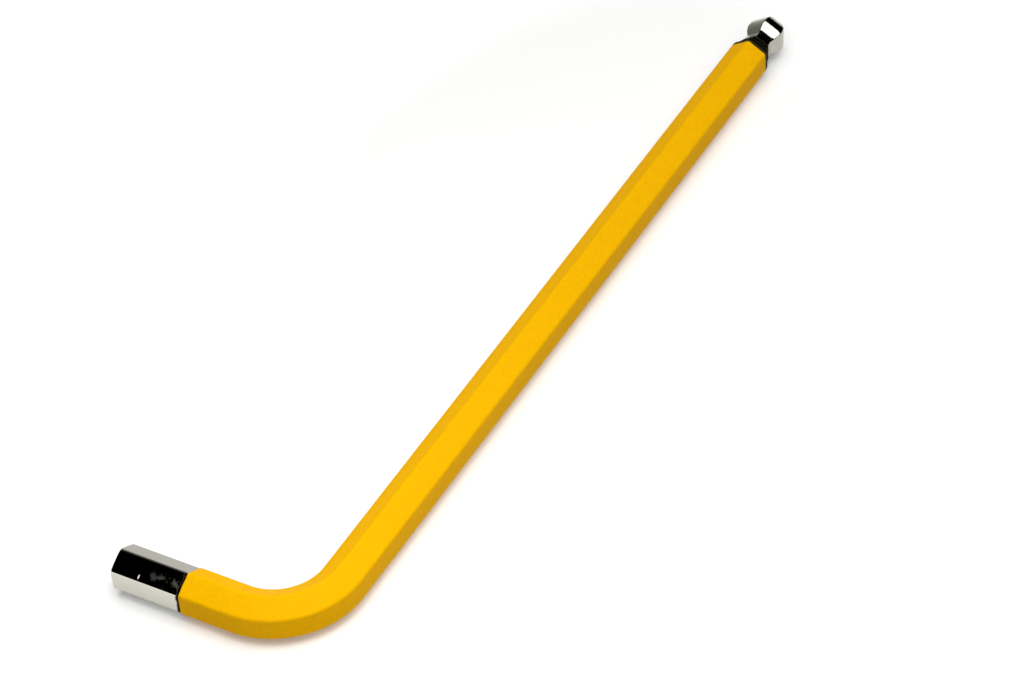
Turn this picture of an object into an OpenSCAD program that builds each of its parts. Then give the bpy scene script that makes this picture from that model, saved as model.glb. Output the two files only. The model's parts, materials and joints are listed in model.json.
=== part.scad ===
// Ball-end hex key: a bar of hexagonal steel bent once to an L, lying on a table.
// The long arm runs along +X to a hex ball, the short arm along +Y to a plain tip.
// The bar is bent flat side in, so the key lies on an edge of the hexagon, along both
// arms. Millimetres, +Z up. The origin is under the middle of the key's bounding box,
// at the height of the table.

/* [Hexagonal bar] */
// Size of the key: distance across the flats of the bar
across_flats = 8; // [6:0.5:12]
// How far the rounding of each corner falls short of the sharp corner
corner_loss = 0.1; // [0.05:0.01:0.2]

/* [L shape] */
// Long arm, from the outside of the short arm to the tip of the ball
long_len = 208; // [120:1:300]
// Short arm, from the outside of the long arm to its plain tip
short_len = 44; // [38:1:80]
// Radius of the bend on its inner side
inside_r = 10; // [6:0.5:16]

/* [Plain tip] */
// Chamfer that breaks the corners of the plain tip
tip_chamfer = 0.2; // [0.1:0.1:0.8]

/* [Ball end] */
// How much smaller the ball is than the bar, across its facets
ball_clearance = 0.05; // [0.02:0.01:0.2]
// Each facet of the ball is an arc along the arm, flatter than a true ball by this much
facet_extra_r = 1.4; // [0.8:0.1:2]
// Distance across the flats at the very tip, where the ball is cut off square
ball_tip_af = 4.8; // [3.5:0.1:5.2]
// Distance across the flats of the waist behind the ball
waist_af = 5.8; // [5:0.1:6.4]
// Radius of the hollow that leads from the full bar down into the waist
hollow_r = 8.5; // [5:0.5:12]
// Even stretch of waist between the hollow and the ball
waist_len = 0.2; // [0.1:0.1:1.5]

/* [Yellow coat] */
// Thickness of the coat
coat_t = 0.15; // [0.1:0.05:0.4]
// Bare steel left at the plain tip
short_bare = 15; // [5:0.5:18]
// Bare bar left between the coat and the hollow behind the ball
waist_bare = 0.3; // [0.1:0.1:5]

/* [Hidden] */
$fn = 96;

// A hexagon has three pairs of flats. The first pair faces the inside and outside of the L.
pair_count = 3;
pair_step = 180 / pair_count;
bend_angle = 90;
corner_up = 90;

bar_mid = across_flats / 2;
corner_r = bar_mid / cos(pair_step / 2) - corner_loss;
bend_r = inside_r + bar_mid;
bend_end = bar_mid + bend_r;

// The ball: at a distance x from its middle, half the distance across two facets is
// sqrt(facet_r^2 - x^2) - facet_off, so these are the places where it has a given size.
facet_off = facet_extra_r;
facet_r = (across_flats - ball_clearance) / 2 + facet_off;
ball_x = long_len - sqrt(pow(facet_r, 2) - pow(ball_tip_af / 2 + facet_off, 2));
waist_end = ball_x - sqrt(pow(facet_r, 2) - pow(waist_af / 2 + facet_off, 2));

// The hollow: an arc that bottoms in the waist and runs out at the flats of the bar
hollow_mid = waist_end - waist_len;
hollow_depth = (across_flats - waist_af) / 2;
hollow_start = hollow_mid - sqrt(pow(hollow_r, 2) - pow(hollow_r - hollow_depth, 2));

// Ends of the coat, measured as the lengths of the arms are
coat_short_end = short_len - short_bare;
coat_long_end = hollow_start - waist_bare;

// The coat widens the key's box on the outside of the L, and touches the table.
box_mid_x = (long_len - coat_t) / 2;
box_mid_y = (short_len - coat_t) / 2;
mid_height = corner_r + coat_t;

// Places the L with the origin under the middle of its box
module on_table() {
    translate([-box_mid_x, -box_mid_y, mid_height]) children();
}

// Section of the bar on its corner, or of the bar with a coat of thickness grow
module bar_section(grow = 0) {
    intersection() {
        rotate(corner_up) circle(r = (bar_mid + grow) / cos(pair_step / 2), $fn = 2 * pair_count);
        circle(r = corner_r + grow);
    }
}

// Short arm from the end of the bend to the station y_end
module short_straight(y_end, grow = 0) {
    translate([bar_mid, bend_end, 0])
        rotate([90, 0, 180])
        linear_extrude(y_end - bend_end) bar_section(grow);
}

// Quarter turn between the two arms
module bend(grow = 0) {
    translate([bend_end, bend_end, 0])
        rotate(180)
        rotate_extrude(angle = bend_angle) translate([bend_r, 0]) bar_section(grow);
}

// Long arm from the end of the bend to the station x_end
module long_straight(x_end, grow = 0) {
    translate([bend_end, bar_mid, 0])
        rotate([90, 0, 90])
        linear_extrude(x_end - bend_end) bar_section(grow);
}

// The plain L, as long as the two stations say
module bent_bar(y_end, x_end, grow = 0) {
    short_straight(y_end, grow);
    bend(grow);
    long_straight(x_end, grow);
}

// What grinding leaves of the long arm, seen square to a pair of flats with x along the
// arm: all of the bar up to the hollow, the waist, and the ball between its two arcs
module ground_side() {
    room = 2 * across_flats;
    difference() {
        translate([0, -room / 2]) square([hollow_mid, room]);
        for (side = [-1, 1])
            translate([hollow_mid, side * (waist_af / 2 + hollow_r)]) circle(hollow_r);
    }
    translate([hollow_mid, -waist_af / 2]) square([ball_x - hollow_mid, waist_af]);
    intersection() {
        translate([ball_x, -facet_off]) circle(facet_r);
        translate([ball_x, facet_off]) circle(facet_r);
        translate([hollow_mid, -room / 2]) square([room, room]);
    }
}

// Long arm: the same side is ground on all three pairs of flats
module long_arm() {
    intersection() {
        long_straight(long_len);
        translate([0, bar_mid, 0]) intersection_for(pair = [0 : pair_count - 1])
            rotate([pair * pair_step, 0, 0])
            linear_extrude(2 * across_flats, center = true) ground_side();
    }
}

// Short arm: a cone breaks the six corners of the plain tip
module short_arm() {
    cone_r = corner_r - tip_chamfer;
    intersection() {
        short_straight(short_len);
        translate([bar_mid, short_len, 0])
            rotate([90, 0, 0])
            cylinder(r1 = cone_r, r2 = cone_r + short_len, h = short_len);
    }
}

// One length of plated hexagonal steel: plain tip, bend, and hex ball behind its waist
module steel_key() {
    color("silver") on_table() {
        short_arm();
        bend();
        long_arm();
    }
}

// The coat, face to face on the steel from one bare end to the other
module yellow_coat() {
    color([0.96, 0.72, 0.02]) on_table() difference() {
        bent_bar(coat_short_end, coat_long_end, coat_t);
        bent_bar(short_len, long_len);
    }
}

steel_key();
yellow_coat();
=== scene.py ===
import json
import math

import bmesh
import bpy
from mathutils import Matrix, Vector, noise


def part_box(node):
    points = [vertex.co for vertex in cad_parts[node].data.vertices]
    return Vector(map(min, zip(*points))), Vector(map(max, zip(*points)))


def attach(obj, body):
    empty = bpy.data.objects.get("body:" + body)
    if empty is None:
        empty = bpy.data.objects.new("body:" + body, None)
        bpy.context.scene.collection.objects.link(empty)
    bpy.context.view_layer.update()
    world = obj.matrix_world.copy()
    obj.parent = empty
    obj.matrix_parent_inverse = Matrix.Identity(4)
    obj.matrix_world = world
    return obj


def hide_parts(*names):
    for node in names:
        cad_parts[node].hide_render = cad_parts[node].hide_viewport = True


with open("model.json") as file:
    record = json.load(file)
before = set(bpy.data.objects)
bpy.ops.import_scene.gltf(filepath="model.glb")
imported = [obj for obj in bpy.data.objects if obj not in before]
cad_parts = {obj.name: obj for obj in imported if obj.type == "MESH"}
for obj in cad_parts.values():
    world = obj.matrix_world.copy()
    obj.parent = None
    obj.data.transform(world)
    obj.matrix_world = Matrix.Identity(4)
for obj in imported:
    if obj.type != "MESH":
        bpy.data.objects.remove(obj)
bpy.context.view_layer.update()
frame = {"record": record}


# --- The steel key -----------------------------------------------------------------------
# One length of hexagonal steel, drawn, cut, bent cold over a former with a flat inside,
# ground to a hex ball at the end of the long arm, and plated bright all over.

MM = 0.001
CORNERS = 6
HALF_CORNER = math.pi / CORNERS
QUARTER = math.pi / 2

steel_low, steel_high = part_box("steel_key")
coat_low, coat_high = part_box("yellow_coat")
mount_at = {mount["name"]: Vector(mount["pos_m"]) for mount in frame["record"]["mounts"]}
plain_tip = mount_at["plain_hex"]
ball_tip = mount_at["ball_hex"]

half_flat = plain_tip.x - steel_low.x
corner_reach = (steel_high.z - steel_low.z) / 2
least_round = 0.22 * MM
inside_r = 10 * MM
bend_r = inside_r + half_flat
bend_centre = Vector((plain_tip.x + bend_r, ball_tip.y + bend_r, plain_tip.z))

# Runs are lengths along the middle of the bar, counted from the plain tip
short_run = plain_tip.y - bend_centre.y
bend_run = QUARTER * bend_r
long_run = ball_tip.x - bend_centre.x
bar_run = short_run + bend_run + long_run
coat_from = plain_tip.y - coat_high.y
coat_to = bar_run - (ball_tip.x - coat_high.x)


def bar_frame(run):
    """Middle of the bar, and the direction to the outside of the L, at a run."""
    if run <= short_run:
        return Vector((plain_tip.x, plain_tip.y - run, plain_tip.z)), Vector((-1, 0, 0))
    turn = min((run - short_run) / bend_r, QUARTER)
    outward = Vector((-math.cos(turn), -math.sin(turn), 0))
    past_bend = max(run - short_run - bend_run, 0)
    return bend_centre + outward * bend_r + Vector((past_bend, 0, 0)), outward


def hexagon(half, corner_round, arc_steps=8, flat_steps=6):
    """Outline of a hexagon standing on a rounded corner, as points (outward, up)."""
    centre_reach = (half - corner_round) / math.cos(HALF_CORNER)
    points = []
    for corner in range(CORNERS):
        middle = QUARTER + corner * 2 * HALF_CORNER
        for step in range(arc_steps + 1):
            angle = middle + HALF_CORNER * (2 * step / arc_steps - 1)
            points.append(Vector((
                centre_reach * math.cos(middle) + corner_round * math.cos(angle),
                centre_reach * math.sin(middle) + corner_round * math.sin(angle),
            )))
        last = points[-1]
        following = middle + 2 * HALF_CORNER
        first = Vector((
            centre_reach * math.cos(following) + corner_round * math.cos(following - HALF_CORNER),
            centre_reach * math.sin(following) + corner_round * math.sin(following - HALF_CORNER),
        ))
        points += [last.lerp(first, step / flat_steps) for step in range(1, flat_steps)]
    return points


def round_for(half, reach):
    """Corner rounding that keeps a hexagon's corners within a reach of its middle."""
    sharp = half / math.cos(HALF_CORNER)
    return max((sharp - reach) / (1 / math.cos(HALF_CORNER) - 1), least_round)


def swept_mesh(name, rings, closed=False):
    """Skin over rings of (run, outline) along the bar, capped unless closed on itself.

    A ring's run is one number, or a list with a run for each of its points. The UV layer
    "along" holds the run and the share of the way round the bar.
    """
    mesh = bpy.data.meshes.new(name)
    count = len(rings[0][1])
    points = []
    for run, outline in rings:
        runs = run if isinstance(run, list) else [run] * count
        for at, (out, up) in zip(runs, outline):
            middle, outward = bar_frame(at)
            points.append(middle + outward * out + Vector((0, 0, up)))
    spans = len(rings) if closed else len(rings) - 1
    faces = []
    for ring in range(spans):
        here = ring * count
        there = (ring + 1) % len(rings) * count
        for step in range(count):
            after = (step + 1) % count
            faces.append((here + step, here + after, there + after, there + step))
    if not closed:
        faces.append(tuple(range(count)))
        faces.append(tuple(range(len(points) - count, len(points))))
    mesh.from_pydata(points, [], faces)
    along = mesh.uv_layers.new(name="along")
    for face in mesh.polygons:
        steps = [vertex % count for vertex in face.vertices]
        over_seam = len(steps) == 4 and max(steps) - min(steps) > 1
        for corner, vertex in zip(face.loop_indices, face.vertices):
            ring, step = divmod(vertex, count)
            run = rings[ring][0]
            around = 1 if over_seam and step == 0 else step / count
            along.data[corner].uv = (run[step] if isinstance(run, list) else run), around
    shell = bmesh.new()
    shell.from_mesh(mesh)
    bmesh.ops.recalc_face_normals(shell, faces=shell.faces)
    shell.to_mesh(mesh)
    shell.free()
    mesh.shade_smooth()
    return mesh


def add_piece(mesh, sharp_angle):
    """Puts a mesh into the scene, its flats shaded flat and its sharp turns kept sharp."""
    piece = bpy.data.objects.new(mesh.name, mesh)
    bpy.context.scene.collection.objects.link(piece)
    mesh.set_sharp_from_angle(angle=math.radians(sharp_angle))
    flats = piece.modifiers.new("flats", "WEIGHTED_NORMAL")
    flats.keep_sharp = True
    flats.weight = 100
    return piece


# The plain tip: cut square, its edge broken all round and its corners chamfered
tip_chamfer = 0.2 * MM
edge_break = 0.08 * MM

# The ball end: facets ground as arcs along the arm, and a hollow that leads into the waist
ball_clearance = 0.05 * MM
facet_off = 1.4 * MM
facet_r = half_flat - ball_clearance / 2 + facet_off
half_tip = 2.4 * MM
half_waist = 2.9 * MM
hollow_r = 8.5 * MM
waist_len = 0.2 * MM

# Distances back from the ball's tip: to its middle, to both ends of the waist, and to
# where the hollow runs out at the flats of the bar
ball_back = math.sqrt(facet_r ** 2 - (half_tip + facet_off) ** 2)
waist_back = ball_back + math.sqrt(facet_r ** 2 - (half_waist + facet_off) ** 2)
hollow_back = waist_back + waist_len
full_back = hollow_back + math.sqrt(hollow_r ** 2 - (hollow_r - half_flat + half_waist) ** 2)


def ground_half(back):
    """Half the distance across the facets of the ball end, at a distance back from its tip."""
    if back < waist_back:
        return math.sqrt(max(facet_r ** 2 - (back - ball_back) ** 2, 0)) - facet_off
    if back < hollow_back:
        return half_waist
    rise = min((back - hollow_back) / hollow_r, 1)
    return min(half_waist + hollow_r * (1 - math.sqrt(1 - rise ** 2)), half_flat)


# Rings round the broken edge and the chamfer of the plain tip
rings = []
for share in (0, 0.25, 0.6, 1, 2, 4, 6.25, 9):
    run = share * edge_break
    sunk = edge_break * (1 - math.sqrt(1 - (1 - min(share, 1)) ** 2))
    outline = hexagon(half_flat - sunk, round_for(half_flat - sunk, corner_reach))
    limit = corner_reach - tip_chamfer + run - sunk / 2
    rings.append((run, [point * min(1, limit / point.length) for point in outline]))

# Rings along the short arm, the bend, and the long arm up to where it is ground
plain = hexagon(half_flat, round_for(half_flat, corner_reach))
ground_from = full_back + 0.4 * MM
for start, length, steps in ((0, short_run, 12), (short_run, bend_run, 48),
                             (short_run + bend_run, long_run - ground_from, 40)):
    rings += [(start + length * step / steps, plain) for step in range(1, steps + 1)]

# Rings over the hollow, the waist and the ball, then round the broken edge of its tip
ground_steps = 96
ground_backs = [ground_from * (1 - step / ground_steps) for step in range(1, ground_steps)]
ground_backs += [full_back, hollow_back, waist_back, edge_break]
for back in sorted(ground_backs, reverse=True):
    if back >= edge_break:
        half = ground_half(back)
        rings.append((bar_run - back, hexagon(half, round_for(half, corner_reach))))
tip_steps = 4
for step in range(1, tip_steps + 1):
    turn = QUARTER * step / tip_steps
    half = ground_half(edge_break) - edge_break * (1 - math.cos(turn))
    rings.append((bar_run - edge_break * (1 - math.sin(turn)), hexagon(half, least_round)))

steel_key = add_piece(swept_mesh("bent_steel_bar", rings), sharp_angle=26)


def new_material(name):
    """An empty node material with its output and a Principled shader joined up."""
    material = bpy.data.materials.new(name)
    material.use_nodes = True
    tree = material.node_tree
    tree.nodes.clear()
    output = tree.nodes.new("ShaderNodeOutputMaterial")
    shader = tree.nodes.new("ShaderNodeBsdfPrincipled")
    tree.links.new(shader.outputs["BSDF"], output.inputs["Surface"])
    return material, tree, shader


def feed(tree, socket, value):
    """Links a socket to the output of another node, or sets it to a plain value."""
    if isinstance(value, bpy.types.NodeSocket):
        tree.links.new(value, socket)
    else:
        socket.default_value = value


def math_node(tree, operation, *values):
    """The result of a Math node."""
    node = tree.nodes.new("ShaderNodeMath")
    node.operation = operation
    for socket, value in zip(node.inputs, values):
        feed(tree, socket, value)
    return node.outputs["Value"]


def vector_node(tree, operation, *values):
    """The result of a Vector Math node, which is a number for a length or a dot product."""
    node = tree.nodes.new("ShaderNodeVectorMath")
    node.operation = operation
    for socket, value in zip(node.inputs, values):
        feed(tree, socket, value)
    return node.outputs["Value" if operation in ("LENGTH", "DOT_PRODUCT") else "Vector"]


def ramp(tree, value, start, end, low=0, high=1, smooth=False):
    """A value mapped from low at the start to high at the end, and held beyond both."""
    node = tree.nodes.new("ShaderNodeMapRange")
    node.interpolation_type = "SMOOTHSTEP" if smooth else "LINEAR"
    for name, setting in (("Value", value), ("From Min", start), ("From Max", end),
                          ("To Min", low), ("To Max", high)):
        feed(tree, node.inputs[name], setting)
    return node.outputs["Result"]


def mixed(tree, share, first, second):
    """One colour that changes to a second by a share."""
    node = tree.nodes.new("ShaderNodeMix")
    node.data_type = "RGBA"
    for name, value in (("Factor", share), ("A", first), ("B", second)):
        feed(tree, node.inputs[name], value)
    return node.outputs["Result"]


def soft_noise(tree, place, scale, detail):
    """Soft noise over a place."""
    node = tree.nodes.new("ShaderNodeTexNoise")
    for name, value in (("Vector", place), ("Scale", scale), ("Detail", detail)):
        feed(tree, node.inputs[name], value)
    return node.outputs["Fac"]


def reach_from(tree, place, centre, half_sizes):
    """How far a place lies from the centre of an ellipsoid, where 1 is its surface."""
    offset = vector_node(tree, "SUBTRACT", place, centre)
    shares = vector_node(tree, "MULTIPLY", offset, [1 / half for half in half_sizes])
    return vector_node(tree, "LENGTH", shares)


def bumped(tree, shader, height, depth, strength):
    """Gives a shader fine relief of a depth from a height."""
    bump = tree.nodes.new("ShaderNodeBump")
    bump.inputs["Distance"].default_value = depth
    bump.inputs["Strength"].default_value = strength
    tree.links.new(height, bump.inputs["Height"])
    tree.links.new(bump.outputs["Normal"], shader.inputs["Normal"])


# Mottle: soft patches of two sizes. The plating shows the large ones, and the coat both.
mottle = bpy.data.node_groups.new("mottle", "ShaderNodeTree")
for name in ("Patch Scale", "Fine Scale"):
    mottle.interface.new_socket(name, in_out="INPUT", socket_type="NodeSocketFloat")
for name in ("Patches", "Grain"):
    mottle.interface.new_socket(name, in_out="OUTPUT", socket_type="NodeSocketFloat")
group_in = mottle.nodes.new("NodeGroupInput")
group_out = mottle.nodes.new("NodeGroupOutput")
place = mottle.nodes.new("ShaderNodeTexCoord").outputs["Object"]
for scale, detail, result in (("Patch Scale", 3, "Patches"), ("Fine Scale", 2, "Grain")):
    patchy = soft_noise(mottle, place, group_in.outputs[scale], detail)
    mottle.links.new(patchy, group_out.inputs[result])


def mottled(tree, scales):
    """A mottle node in a material, with the scales that the material uses."""
    node = tree.nodes.new("ShaderNodeGroup")
    node.node_tree = mottle
    for name, scale in scales.items():
        node.inputs[name].default_value = scale
    return node


# Bright plating: a mirror with faint drawing lines along the bar and a slightly uneven skin
deep_plating = (0.51, 0.50, 0.44, 1)
pale_plating = (0.57, 0.56, 0.49, 1)
plating, tree, shader = new_material("bright_plating")
patches = mottled(tree, {"Patch Scale": 260}).outputs["Patches"]
coords = tree.nodes.new("ShaderNodeTexCoord")
on_key = coords.outputs["Object"]
along_bar = coords.outputs["UV"]
colour = mixed(tree, patches, deep_plating, pale_plating)

# Grey-brown blotches, not metal, on the outer facet, on the bare steel beside the coat
blotch_brown = (0.095, 0.075, 0.058, 1)
blotch_most = 0.2
blotch_at = plain_tip + Vector((-2.4, -12.6, 3.2)) * MM
blotch_half = (1.8 * MM, 4.2 * MM, 1.1 * MM)
blotch_noise = soft_noise(tree, on_key, scale=620, detail=3)
blotch_area = ramp(tree, reach_from(tree, on_key, blotch_at, blotch_half), 1.2, 0.5)
blotched = ramp(tree, blotch_noise, 0.47, 0.68, high=blotch_most)
blotched = math_node(tree, "MULTIPLY", blotched, blotch_area)
colour = mixed(tree, blotched, colour, blotch_brown)

# A dark band on the bare steel beside both ends of the coat. Next to the coat it is dark
# residue; behind the ball it runs wider, over the hollow, as painted shade that blacks out
# the hollow's reflections. The upper inner facet of the short arm is wiped clean of it.
dark_residue_and_shade = (0.006, 0.0058, 0.003, 1)
dark_band_waver = 1.2 * MM
residue_start = (coat_from - 0.1 * MM, coat_from + 0.3 * MM)
residue_and_shade_end = (coat_to + 3.6 * MM, coat_to + 3.4 * MM)
wiped_round = (0.2, 0.3)
wiped_to = coat_from + 3 * MM
run_along = tree.nodes.new("ShaderNodeSeparateXYZ")
tree.links.new(along_bar, run_along.inputs["Vector"])
uneven_run = math_node(tree, "MULTIPLY_ADD", blotch_noise, dark_band_waver, run_along.outputs["X"])
dark_here = math_node(tree, "MULTIPLY", ramp(tree, uneven_run, *residue_start),
                      ramp(tree, uneven_run, *residue_and_shade_end))
not_wiped = math_node(tree, "MAXIMUM", ramp(tree, run_along.outputs["Y"], *wiped_round),
                      math_node(tree, "GREATER_THAN", run_along.outputs["X"], wiped_to))
dark_here = math_node(tree, "MULTIPLY", dark_here, not_wiped)
colour = mixed(tree, dark_here, colour, dark_residue_and_shade)

# A painted glint: a small white, non-metal spot on the outer facet of the short arm that
# stands in for a highlight
glint_white = (0.8, 0.8, 0.78, 1)
glint_at = plain_tip + Vector((-3.25, -6.0, 2.74)) * MM
glint_half = (0.5 * MM, 0.16 * MM, 0.46 * MM)
painted_glint = ramp(tree, reach_from(tree, on_key, glint_at, glint_half), 1.1, 0.8)
colour = mixed(tree, painted_glint, colour, glint_white)
tree.links.new(colour, shader.inputs["Base Color"])

# The blotches and the painted glint aren't metal, and like the dark band they aren't bright
dark_band_roughness = 0.7
dull_roughness = 0.2
dull = math_node(tree, "MAXIMUM", blotched, painted_glint)
tree.links.new(math_node(tree, "SUBTRACT", 1, dull), shader.inputs["Metallic"])
stretch = tree.nodes.new("ShaderNodeMapping")
stretch.inputs["Scale"].default_value = (40, 160, 1)
tree.links.new(along_bar, stretch.inputs["Vector"])
drawing_lines = soft_noise(tree, stretch.outputs["Vector"], scale=1, detail=3)
rough = ramp(tree, drawing_lines, 0, 1, low=0.05, high=0.11)
rough = math_node(tree, "MULTIPLY_ADD", dark_here, dark_band_roughness, rough)
rough = math_node(tree, "MULTIPLY_ADD", dull, dull_roughness, rough)
tree.links.new(rough, shader.inputs["Roughness"])
bumped(tree, shader, patches, depth=0.02 * MM, strength=0.6)

steel_key.data.materials.append(plating)
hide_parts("steel_key")
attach(steel_key, "root")


# --- The yellow coat ---------------------------------------------------------------------
# A thick skin of yellow coating, baked onto the bar between its two bare ends. Its corners
# are fuller than the steel's, and each end thins out in a soft, slightly uneven lip.

coat_t = steel_low.x - coat_low.x
coat_reach = (coat_high.z - coat_low.z) / 2
coat_run = coat_to - coat_from
skin_sunk = 0.02 * MM
lip_len = 0.45 * MM
lip_waver = 0.22 * MM
lip_fade = 2 * MM
waver_scale = 1.6


def coat_outline(thickness):
    """Outline of the coat where it has a thickness on the steel, negative for its inner side."""
    half = half_flat + thickness
    reach = corner_reach + thickness * (coat_reach - corner_reach) / coat_t
    return hexagon(half, round_for(half, reach))


full_outline = coat_outline(coat_t)


def lip_line(end_run, direction, inward, seed):
    """Runs of one ring near a coat end: the end wavers round the bar, and fades into the coat."""
    fade = math.exp(-inward / lip_fade)
    runs = []
    for point in full_outline:
        around = point.normalized() * waver_scale
        waver = 0.5 + 0.5 * noise.noise(Vector((around.x, around.y, seed)))
        runs.append(end_run + direction * (inward + lip_waver * waver * fade))
    return runs


def short_end(inward):
    """Runs of the ring at a distance inward from the coat's end on the short arm."""
    return lip_line(coat_from, 1, inward, seed=3.1)


def long_end(inward):
    """Runs of the ring at a distance inward from the coat's end on the long arm."""
    return lip_line(coat_to, -1, inward, seed=8.4)


def lip_rings(end):
    """Rings of a rounded lip at an end of the coat, from the steel up to the full coat."""
    lip_steps = 6
    lip = []
    for step in range(lip_steps + 1):
        turn = QUARTER * step / lip_steps
        thickness = -skin_sunk + (coat_t + skin_sunk) * math.sin(turn)
        lip.append((end(lip_len * (1 - math.cos(turn))), coat_outline(thickness)))
    return lip


# The outer side, from the lip on the short arm to the lip on the long arm
rings = lip_rings(short_end)
outer_steps = 360
for step in range(1, outer_steps):
    share = step / outer_steps
    inward = lip_len + (coat_run - 2 * lip_len) * share
    both = zip(short_end(inward), long_end(coat_run - inward))
    rings.append(([a * (1 - share) + b * share for a, b in both], full_outline))
rings += reversed(lip_rings(long_end))

# The inner side, just under the skin of the steel, back to the lip on the short arm
inner_steps = 120
inner_short = 0.3 * MM
inner_outline = coat_outline(-skin_sunk)
for step in range(1, inner_steps):
    run = coat_to - inner_short - (coat_run - 2 * inner_short) * step / inner_steps
    rings.append((run, inner_outline))

yellow_coat = add_piece(swept_mesh("baked_yellow_coat", rings, closed=True), sharp_angle=70)

# The coating: a deep warm yellow, satin, with a fine orange-peel skin
deep_yellow = (0.85, 0.43, 0.001, 1)
pale_yellow = (0.95, 0.495, 0.001, 1)
patch_share = 0.6
grain_share = 1.4
speckle_shift = -0.5
coating, tree, shader = new_material("yellow_coating")
shader.inputs["Specular IOR Level"].default_value = 0.012
skin = mottled(tree, {"Patch Scale": 420, "Fine Scale": 1500})
patches = skin.outputs["Patches"]
grain = skin.outputs["Grain"]
speckle = math_node(tree, "MULTIPLY_ADD", patches, patch_share, speckle_shift)
speckle = math_node(tree, "MULTIPLY_ADD", grain, grain_share, speckle)
colour = mixed(tree, speckle, deep_yellow, pale_yellow)

# The yellow is darkened to near black in a wavering band along both ends, where it thins
# out. On the facet of the steel that is wiped clean, the yellow reaches the edge.
coat_end_dark = (0.03, 0.027, 0.008, 1)
coat_end_waver = 0.7 * MM
yellow_from = coat_from + 0.5 * MM
yellow_to = coat_to - 0.7 * MM
half_soft = 0.15 * MM
coords = tree.nodes.new("ShaderNodeTexCoord")
run_along = tree.nodes.new("ShaderNodeSeparateXYZ")
tree.links.new(coords.outputs["UV"], run_along.inputs["Vector"])
uneven_run = math_node(tree, "MULTIPLY_ADD", patches, coat_end_waver, run_along.outputs["X"])
dark_short = ramp(tree, uneven_run, yellow_from - half_soft, yellow_from + half_soft, 1, 0)
not_wiped = ramp(tree, run_along.outputs["Y"], *wiped_round)
dark_short = math_node(tree, "MULTIPLY", dark_short, not_wiped)
dark_long = ramp(tree, uneven_run, yellow_to + half_soft, yellow_to - half_soft, 1, 0)
dark_ends = math_node(tree, "MAXIMUM", dark_short, dark_long)
colour = mixed(tree, dark_ends, colour, coat_end_dark)
tree.links.new(colour, shader.inputs["Base Color"])
tree.links.new(ramp(tree, grain, 0, 1, low=0.38, high=0.5), shader.inputs["Roughness"])
bumped(tree, shader, grain, depth=0.03 * MM, strength=0.5)

yellow_coat.data.materials.append(coating)
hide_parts("yellow_coat")
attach(yellow_coat, "root")


# --- The table ---------------------------------------------------------------------------
# A plain white table top that the key lies on. Light of its own lifts it to white for the
# camera, and less so round the key, where the soft shadow lies.

table_reach = 2.5
table_mesh = bpy.data.meshes.new("table")
table_mesh.from_pydata(
    [(x, y, 0) for x, y in ((-table_reach, -table_reach), (table_reach, -table_reach),
                            (table_reach, table_reach), (-table_reach, table_reach))],
    [], [(0, 1, 2, 3)])
table = bpy.data.objects.new("table", table_mesh)
bpy.context.scene.collection.objects.link(table)

table_top, tree, shader = new_material("white_table")
shader.inputs["Base Color"].default_value = (0.86, 0.86, 0.855, 1)
shader.inputs["Roughness"].default_value = 0.35
shader.inputs["Emission Color"].default_value = (1, 1, 0.99, 1)
ray = tree.nodes.new("ShaderNodeLightPath")
on_table = tree.nodes.new("ShaderNodeTexCoord").outputs["Object"]
across = tree.nodes.new("ShaderNodeSeparateXYZ")
tree.links.new(on_table, across.inputs["Vector"])

# The lift grows outwards from the edge of an oval round the key. The plating mirrors a
# brighter table beyond the short arm than elsewhere.
oval = (0.105, 0.05, math.inf)
beyond_arm = (-0.1, -0.12)
from_key = reach_from(tree, on_table, (0, 0, 0), oval)
camera_lift = ramp(tree, from_key, 1, 1.8, low=0.21, high=0.8, smooth=True)
glossy_lift = ramp(tree, across.outputs["X"], *beyond_arm, low=0.05, high=0.6)
lift = math_node(tree, "MULTIPLY", ray.outputs["Is Glossy Ray"], glossy_lift)
lift = math_node(tree, "MULTIPLY_ADD", ray.outputs["Is Camera Ray"], camera_lift, lift)
tree.links.new(lift, shader.inputs["Emission Strength"])
table_mesh.materials.append(table_top)


# --- Light and camera --------------------------------------------------------------------
# A large soft light overhead, a weaker one to the front, a small one over the bend, and a
# dark room round them, with a grey wall at the far left that the plating picks up. The
# overhead light is in two parts, because the plating mirrors only the right one.

# The point that the camera looks at, and the camera's angles and distance from there
aim = Vector((-13.90, -14.72, plain_tip.z / MM)) * MM
heading = math.radians(31.31)
pitch = math.radians(41.79)
roll = math.radians(4.495)
distance = 621 * MM

away = Vector((math.cos(heading), math.sin(heading), 0))
right = Vector((math.sin(heading), -math.cos(heading), 0))
above = Vector((0, 0, 1))


def softbox(name, place, size, radiance, glossy):
    """A rectangular light that faces down from a place (right, away, up) of the aim, in metres."""
    lamp = bpy.data.lights.new(name, "AREA")
    lamp.shape = "RECTANGLE"
    lamp.size, lamp.size_y = size
    lamp.energy = radiance * math.pi * size[0] * size[1]
    holder = bpy.data.objects.new(name, lamp)
    holder.location = aim + right * place[0] + away * place[1] + above * place[2]
    holder.rotation_euler = (0, 0, heading - QUARTER)
    holder.visible_glossy = glossy
    holder.visible_camera = False
    bpy.context.scene.collection.objects.link(holder)


softbox("overhead", (0.46, 0.12, 0.80), (0.84, 0.84), radiance=2.3, glossy=True)
softbox("overhead_left", (-0.16, 0.12, 0.80), (0.4, 0.84), radiance=2.3, glossy=False)
softbox("front", (0.22, -0.62, 0.80), (1.16, 0.64), radiance=0.96, glossy=False)
softbox("near_bend", (-0.045, -0.12, 0.20), (0.16, 0.16), radiance=2.75, glossy=False)

world = bpy.data.worlds.new("room")
world.use_nodes = True
bpy.context.scene.world = world
tree = world.node_tree
tree.nodes.clear()


def background(tree, colour, strength):
    """The shader of a Background node."""
    node = tree.nodes.new("ShaderNodeBackground")
    feed(tree, node.inputs["Color"], colour)
    feed(tree, node.inputs["Strength"], strength)
    return node.outputs["Background"]


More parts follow.
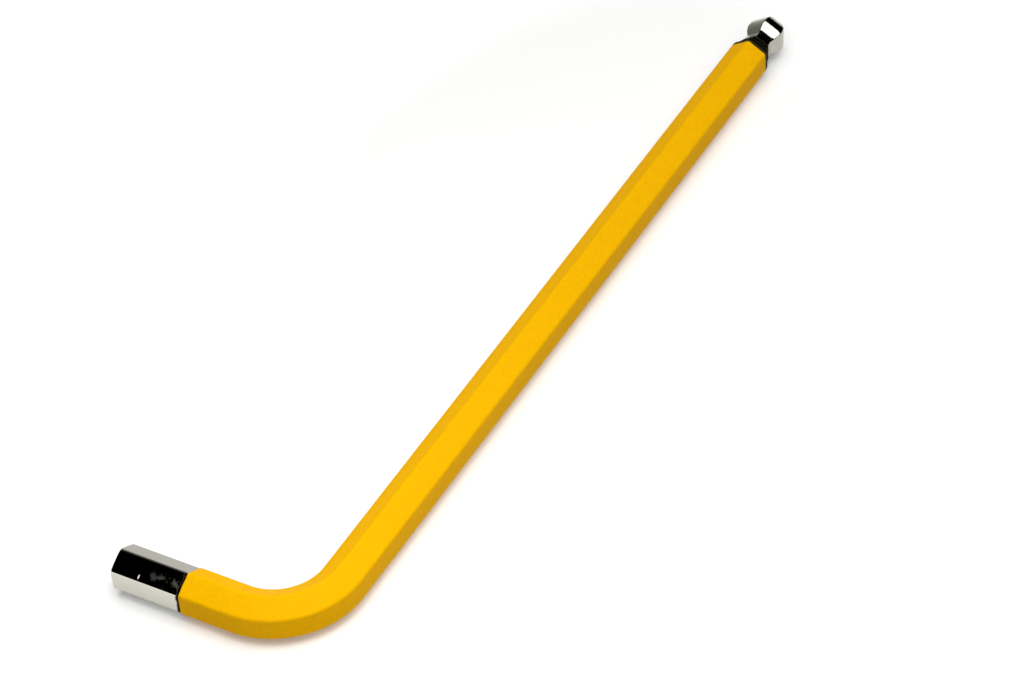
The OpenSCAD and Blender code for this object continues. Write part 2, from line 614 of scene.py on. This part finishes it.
def chosen(tree, choice, other, picked):
    """One shader, or a picked one where the choice is 1."""
    node = tree.nodes.new("ShaderNodeMixShader")
    for socket, value in zip(node.inputs, (choice, other, picked)):
        tree.links.new(value, socket)
    return node.outputs["Shader"]


# The grey wall: darker with height, and gone to the right and towards the camera
toward = tree.nodes.new("ShaderNodeTexCoord").outputs["Generated"]
height = tree.nodes.new("ShaderNodeSeparateXYZ")
tree.links.new(toward, height.inputs["Vector"])
wall = tree.nodes.new("ShaderNodeValToRGB")
tree.links.new(height.outputs["Z"], wall.inputs["Fac"])
first, last = wall.color_ramp.elements
first.color = (0.45, 0.45, 0.43, 1)
last.position = 0.86
last.color = (0.003, 0.003, 0.003, 1)
for place, level in ((0.15, 0.34), (0.38, 0.2), (0.6, 0.2), (0.8, 0.1)):
    stop = wall.color_ramp.elements.new(place)
    stop.color = (level, level, level * 0.96, 1)
left_only = ramp(tree, vector_node(tree, "DOT_PRODUCT", toward, right), 0.15, 0.6, 1, 0)
far_only = ramp(tree, vector_node(tree, "DOT_PRODUCT", toward, away), 0.1, 0.35)

# The plating sees the wall, the camera sees white, and the rest of the room is nearly dark
wall_here = math_node(tree, "MULTIPLY", left_only, far_only)
grey_wall = background(tree, wall.outputs["Color"], wall_here)
dark_room = background(tree, (0.8, 0.8, 0.8, 1), 0.02)
white = background(tree, (1, 1, 0.99, 1), 1)
ray = tree.nodes.new("ShaderNodeLightPath")
seen = chosen(tree, ray.outputs["Is Glossy Ray"], dark_room, grey_wall)
seen = chosen(tree, ray.outputs["Is Camera Ray"], seen, white)
output = tree.nodes.new("ShaderNodeOutputWorld")
tree.links.new(seen, output.inputs["Surface"])

camera = bpy.data.objects.new("camera", bpy.data.cameras.new("camera"))
camera.data.lens = 108.47
camera.data.sensor_width = 36
look = away * math.cos(pitch) - above * math.sin(pitch)
level = look.cross(above).normalized()
tilted_right = level * math.cos(roll) - level.cross(look) * math.sin(roll)
up = tilted_right.cross(look)
turned = Matrix((tilted_right, up, -look)).transposed().to_4x4()
camera.matrix_world = Matrix.Translation(aim - look * distance) @ turned
bpy.context.scene.collection.objects.link(camera)
bpy.context.scene.camera = camera
bpy.context.scene.view_settings.view_transform = "Standard"
